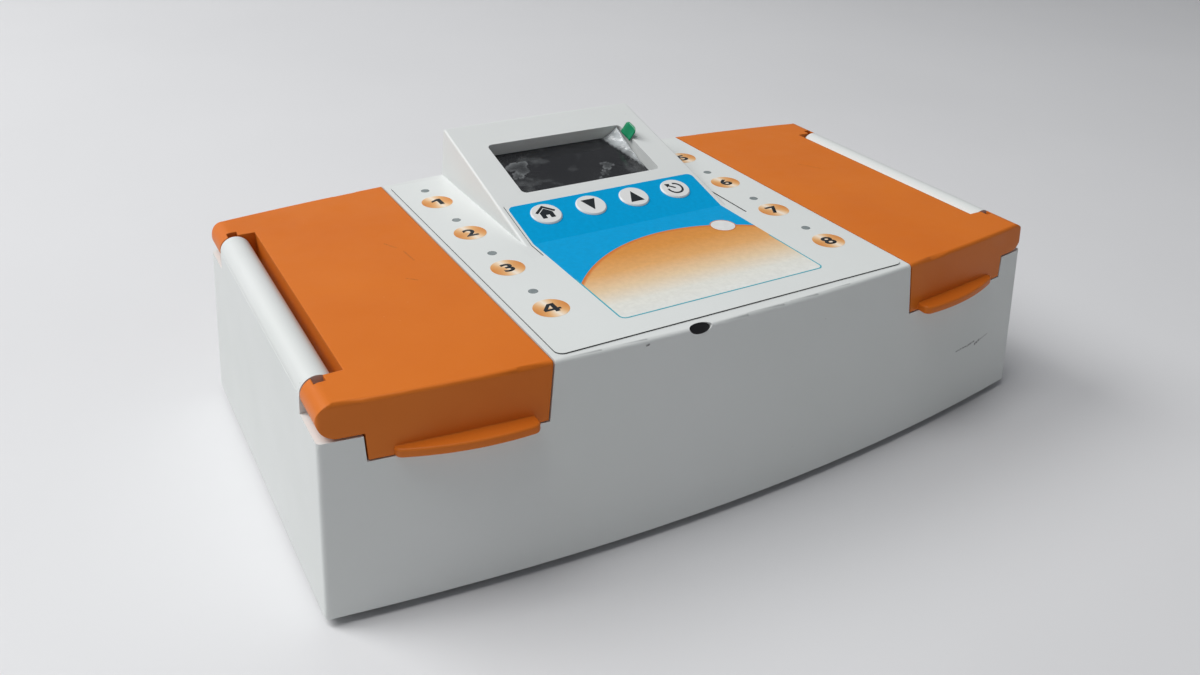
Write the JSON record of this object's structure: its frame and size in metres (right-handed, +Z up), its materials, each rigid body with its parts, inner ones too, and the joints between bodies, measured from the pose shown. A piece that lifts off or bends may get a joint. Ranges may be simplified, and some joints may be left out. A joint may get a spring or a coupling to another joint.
{
  "type": "benchtop incubator",
  "caption": "Benchtop vial incubator: bowed white casing, sloped display hood with keys, and a hinged lid over the heated wells at each end.",
  "frame": {"origin": "on the table, under the middle of the casing", "axes": "+X along the front from left to right, +Y to the back, +Z up"},
  "size_m": [0.266, 0.156, 0.0855],
  "materials": {
    "white_shell": "fine moulded texture",
    "grey_plastic": "moulded",
    "orange_lid": "satin moulded",
    "steel": "bright",
    "rubber": "matt",
    "silicone": "matt",
    "foam": "closed-cell foam",
    "aluminium": "satin anodised",
    "overlay": "printed film",
    "white_key": "satin",
    "light_window": "clear",
    "circuit_board": "solder mask",
    "black_component": "moulded",
    "pale_component": "moulded",
    "frame_metal": "folded",
    "display_black": "glossy",
    "clear_film": "clear",
    "green_tab": "glossy",
    "cable": "flat cable"
  },
  "bodies": {
    "casing": {"base_plate": "grey_plastic", "base_screws": "steel", "board_screws": "steel", "board_sockets": "pale_component", "capacitors": "black_component", "dc_jack": "black_component", "dc_jack_nut": "frame_metal", "display_backlight": "pale_component", "display_board": "circuit_board", "display_cable": "cable", "display_frame": "frame_metal", "display_glass": "display_black", "edge_window": "black_component", "graphic_overlay": "overlay", "heater_drivers": "black_component", "housing_shell": "white_shell", "keypad_board": "circuit_board", "keypad_cable": "cable", "left_block_screws": "steel", "left_block_seal": "silicone", "left_block_sensor": "steel", "left_heater_block": "aluminium", "left_heater_mat": "silicone", "left_hinge_pin": "steel", "left_insulation": "foam", "left_led_board": "circuit_board", "light_pipe_1": "light_window", "light_pipe_2": "light_window", "light_pipe_3": "light_window", "light_pipe_4": "light_window", "light_pipe_5": "light_window", "light_pipe_6": "light_window", "light_pipe_7": "light_window", "light_pipe_8": "light_window", "main_board": "circuit_board", "main_processor": "black_component", "panel_screws": "steel", "protective_film": "clear_film", "pull_tab": "green_tab", "right_block_screws": "steel", "right_block_seal": "silicone", "right_block_sensor": "steel", "right_heater_block": "aluminium", "right_heater_mat": "silicone", "right_hinge_pin": "steel", "right_insulation": "foam", "right_led_board": "circuit_board", "rubber_feet": "rubber", "sounder": "black_component", "status_leds": "pale_component", "tact_switches": "black_component", "well_floors": "aluminium"},
    "left_lid": {"left_lid": "orange_lid", "left_lid_pad": "foam"},
    "right_lid": {"right_lid": "orange_lid", "right_lid_pad": "foam"},
    "home_key": {"home_key": "white_key"},
    "down_key": {"down_key": "white_key"},
    "up_key": {"up_key": "white_key"},
    "return_key": {"return_key": "white_key"}
  },
  "joints": [
    {"name": "left_lid_hinge", "type": "hinge", "parent": "casing", "child": "left_lid", "pos_m": [-0.12265, 0, 0.06265], "axis": [0, -1, 0], "range_deg": [0, 110]},
    {"name": "right_lid_hinge", "type": "hinge", "parent": "casing", "child": "right_lid", "pos_m": [0.12265, 0, 0.06265], "axis": [0, 1, 0], "range_deg": [0, 110]},
    {"name": "home_key_press", "type": "slide", "parent": "casing", "child": "home_key", "axis": [0, 0.247, -0.969], "range_m": [0, 0.0004], "stiffness_N_per_m": 3000},
    {"name": "down_key_press", "type": "slide", "parent": "casing", "child": "down_key", "axis": [0, 0.247, -0.969], "range_m": [0, 0.0004], "stiffness_N_per_m": 3000},
    {"name": "up_key_press", "type": "slide", "parent": "casing", "child": "up_key", "axis": [0, 0.247, -0.969], "range_m": [0, 0.0004], "stiffness_N_per_m": 3000},
    {"name": "return_key_press", "type": "slide", "parent": "casing", "child": "return_key", "axis": [0, 0.247, -0.969], "range_m": [0, 0.0004], "stiffness_N_per_m": 3000}
  ]
}
